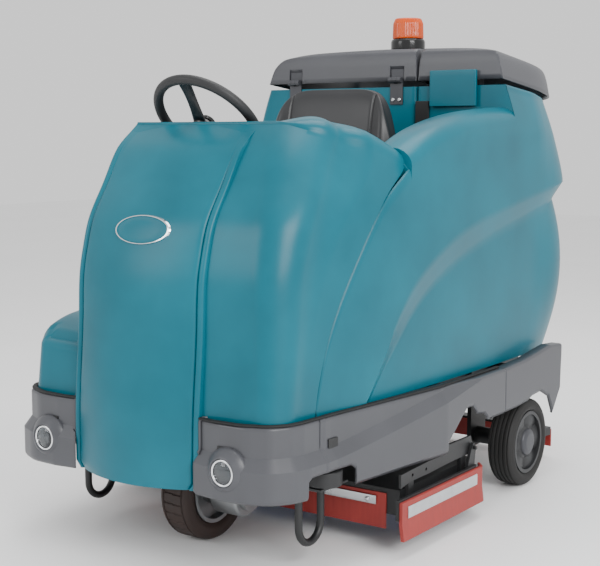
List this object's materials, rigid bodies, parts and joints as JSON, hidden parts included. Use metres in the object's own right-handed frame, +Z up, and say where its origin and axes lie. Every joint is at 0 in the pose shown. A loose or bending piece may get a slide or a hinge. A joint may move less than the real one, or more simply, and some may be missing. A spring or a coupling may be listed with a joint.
{
  "type": "ride-on floor scrubber",
  "caption": "Ride-on floor scrubber-dryer with driver's seat, raised scrub deck with side blades, twin tanks under grey lids, steered front drive wheel and amber beacon.",
  "frame": {"origin": "on the floor under the middle of the machine", "axes": "+Z up, +Y towards the rear tanks (the machine drives towards -Y), +X towards the closed side"},
  "size_m": [1.2, 1.9, 1.615],
  "materials": {
    "teal_body": "moulded, fine grain",
    "grey_body": "moulded, fine grain",
    "black_steel": "powder coat",
    "black_plastic": "moulded",
    "gloss_black": "glossy",
    "tyre_rubber": "tread",
    "rim_plastic": "moulded",
    "cast_grey": "cast",
    "hinge_steel": "painted",
    "bright_steel": "plated",
    "seat_vinyl": "coated fabric",
    "red_rubber": "gum rubber",
    "brush_fibre": "bristle",
    "amber_lens": "clear amber",
    "lamp_clear": "clear",
    "lamp_housing": "moulded",
    "stop_red": "glossy"
  },
  "bodies": {
    "machine": {"chassis_frame": "black_steel", "floor_plate": "black_steel", "battery_blocks": "black_plastic", "front_hood": "teal_body", "dash_console": "black_plastic", "steering_column": "black_plastic", "slew_ring": "black_steel", "solution_tank": "teal_body", "recovery_tank": "teal_body", "vacuum_motor": "cast_grey", "lid_hinge_leaves": "hinge_steel", "side_skirt_left": "grey_body", "side_skirt_right": "grey_body", "rear_skirts": "grey_body", "headlight_housings": "lamp_housing", "headlight_lenses": "lamp_clear", "roller_brackets": "black_steel", "tie_down_loops": "black_steel", "seat_rails": "black_steel", "body_bolts": "bright_steel", "lift_actuator": "cast_grey"},
    "steering_wheel": {"steering_wheel": "gloss_black"},
    "horn_button": {"horn_button": "gloss_black"},
    "emergency_stop": {"emergency_stop": "stop_red"},
    "ignition_key": {"ignition_key": "bright_steel"},
    "accelerator_pedal": {"accelerator_pedal": "black_plastic"},
    "brake_pedal": {"brake_pedal": "black_plastic"},
    "steering_unit": {"steering_fork": "black_steel", "drive_motor": "cast_grey"},
    "drive_wheel": {"drive_rim": "cast_grey", "drive_tyre": "tyre_rubber"},
    "rear_wheel_left": {"rear_rim_left": "rim_plastic", "rear_tyre_left": "tyre_rubber"},
    "rear_wheel_right": {"rear_rim_right": "rim_plastic", "rear_tyre_right": "tyre_rubber"},
    "recovery_lid": {"recovery_lid": "grey_body", "lid_hinge_knuckles": "hinge_steel", "beacon_base": "gloss_black", "beacon_lens": "amber_lens"},
    "fill_lid": {"fill_lid": "grey_body"},
    "roller_left": {"bumper_roller_left": "black_plastic"},
    "roller_right": {"bumper_roller_right": "black_plastic"},
    "seat": {"seat_pan": "black_plastic", "seat_cushion": "seat_vinyl", "seat_back": "seat_vinyl"},
    "lift_arms": {"lift_arms": "black_steel"},
    "scrub_deck": {"deck_housing": "black_steel", "brush_motors": "cast_grey", "deck_flap": "red_rubber", "blade_arms": "black_steel"},
    "brush_left": {"brush_left": "brush_fibre"},
    "brush_centre": {"brush_centre": "brush_fibre"},
    "brush_right": {"brush_right": "brush_fibre"},
    "side_blade_left": {"side_blade_left": "red_rubber", "blade_carrier_left": "black_steel"},
    "side_blade_right": {"side_blade_right": "red_rubber", "blade_carrier_right": "black_steel"},
    "actuator_rod": {"actuator_rod": "bright_steel"},
    "squeegee": {"squeegee_frame": "black_steel", "squeegee_blades": "red_rubber"}
  },
  "joints": [
    {"name": "steer_turn", "type": "hinge", "parent": "machine", "child": "steering_unit", "pos_m": [0, -0.59, 0.345], "axis": [0, 0, 1], "range_deg": [-75, 75]},
    {"name": "wheel_turn", "type": "hinge", "parent": "machine", "child": "steering_wheel", "pos_m": [0, -0.56, 1.244], "axis": [0, 0.7071, 0.7071], "range_deg": [-450, 450]},
    {"name": "horn_press", "type": "slide", "parent": "steering_wheel", "child": "horn_button", "axis": [0, 0.7071, 0.7071], "range_m": [-0.003, 0], "stiffness_N_per_m": 600},
    {"name": "stop_press", "type": "slide", "parent": "machine", "child": "emergency_stop", "axis": [0, 0.7546, 0.6562], "range_m": [-0.004, 0], "stiffness_N_per_m": 900},
    {"name": "key_turn", "type": "hinge", "parent": "machine", "child": "ignition_key", "pos_m": [-0.14, -0.55, 1.1325], "axis": [0, 0.7546, 0.6562], "range_deg": [-60, 0]},
    {"name": "accelerator_press", "type": "hinge", "parent": "machine", "child": "accelerator_pedal", "pos_m": [-0.16, -0.545, 0.406], "axis": [1, 0, 0], "range_deg": [0, 20], "stiffness_Nm_per_rad": 12, "springref_deg": -14.32},
    {"name": "brake_press", "type": "hinge", "parent": "machine", "child": "brake_pedal", "pos_m": [0.06, -0.545, 0.406], "axis": [1, 0, 0], "range_deg": [0, 20], "stiffness_Nm_per_rad": 12, "springref_deg": -14.32},
    {"name": "drive_spin", "type": "hinge", "parent": "steering_unit", "child": "drive_wheel", "pos_m": [0, -0.59, 0.15], "axis": [1, 0, 0], "continuous": true},
    {"name": "rear_spin_left", "type": "hinge", "parent": "machine", "child": "rear_wheel_left", "pos_m": [0.517, 0.48, 0.15], "axis": [1, 0, 0], "continuous": true},
    {"name": "rear_spin_right", "type": "hinge", "parent": "machine", "child": "rear_wheel_right", "pos_m": [-0.517, 0.48, 0.15], "axis": [1, 0, 0], "continuous": true},
    {"name": "recovery_lid_open", "type": "hinge", "parent": "machine", "child": "recovery_lid", "pos_m": [-0.1435, 0.377, 1.392], "axis": [1, 0, 0], "range_deg": [0, 80]},
    {"name": "fill_lid_open", "type": "hinge", "parent": "machine", "child": "fill_lid", "pos_m": [0.32, 0.884, 1.308], "axis": [-1, 0, 0], "range_deg": [0, 45]},
    {"name": "roller_spin_left", "type": "hinge", "parent": "machine", "child": "roller_left", "pos_m": [0.465, -0.635, 0.268], "axis": [0, 0, 1], "continuous": true},
    {"name": "roller_spin_right", "type": "hinge", "parent": "machine", "child": "roller_right", "pos_m": [-0.465, -0.635, 0.268], "axis": [0, 0, 1], "continuous": true},
    {"name": "seat_slide", "type": "slide", "parent": "machine", "child": "seat", "axis": [0, 1, 0], "range_m": [-0.04, 0.04]},
    {"name": "deck_lower", "type": "hinge", "parent": "machine", "child": "lift_arms", "pos_m": [0, 0.138, 0.29], "axis": [1, 0, 0], "range_deg": [0, 10.3]},
    {"name": "deck_level", "type": "hinge", "parent": "lift_arms", "child": "scrub_deck", "pos_m": [0, -0.142, 0.262], "axis": [1, 0, 0], "range_deg": [-10.35, 0.05]},
    {"name": "actuator_stroke", "type": "slide", "parent": "machine", "child": "actuator_rod", "axis": [0, 1, 0], "range_m": [-0.0005, 0.01129]},
    {"name": "brush_spin_left", "type": "hinge", "parent": "scrub_deck", "child": "brush_left", "pos_m": [0.315, -0.077, 0.15], "axis": [0, 0, 1], "continuous": true},
    {"name": "brush_spin_centre", "type": "hinge", "parent": "scrub_deck", "child": "brush_centre", "pos_m": [0, -0.185, 0.15], "axis": [0, 0, 1], "continuous": true},
    {"name": "brush_spin_right", "type": "hinge", "parent": "scrub_deck", "child": "brush_right", "pos_m": [-0.315, -0.077, 0.15], "axis": [0, 0, 1], "continuous": true},
    {"name": "blade_float_left", "type": "hinge", "parent": "scrub_deck", "child": "side_blade_left", "pos_m": [0.575, 0.038, 0.226], "axis": [-1, 0, 0], "range_deg": [0, 3.5]},
    {"name": "blade_float_right", "type": "hinge", "parent": "scrub_deck", "child": "side_blade_right", "pos_m": [-0.575, 0.038, 0.226], "axis": [-1, 0, 0], "range_deg": [0, 3.5]},
    {"name": "squeegee_lower", "type": "hinge", "parent": "machine", "child": "squeegee", "pos_m": [0, 0.586, 0.3], "axis": [-1, 0, 0], "range_deg": [0, 8]}
  ],
  "couplings": [
    {"joint": "wheel_turn", "follows": "steer_turn", "ratio": 6},
    {"joint": "deck_level", "follows": "deck_lower", "ratio": -1},
    {"joint": "actuator_stroke", "follows": "deck_lower", "m_per_rad": 0.06}
  ]
}
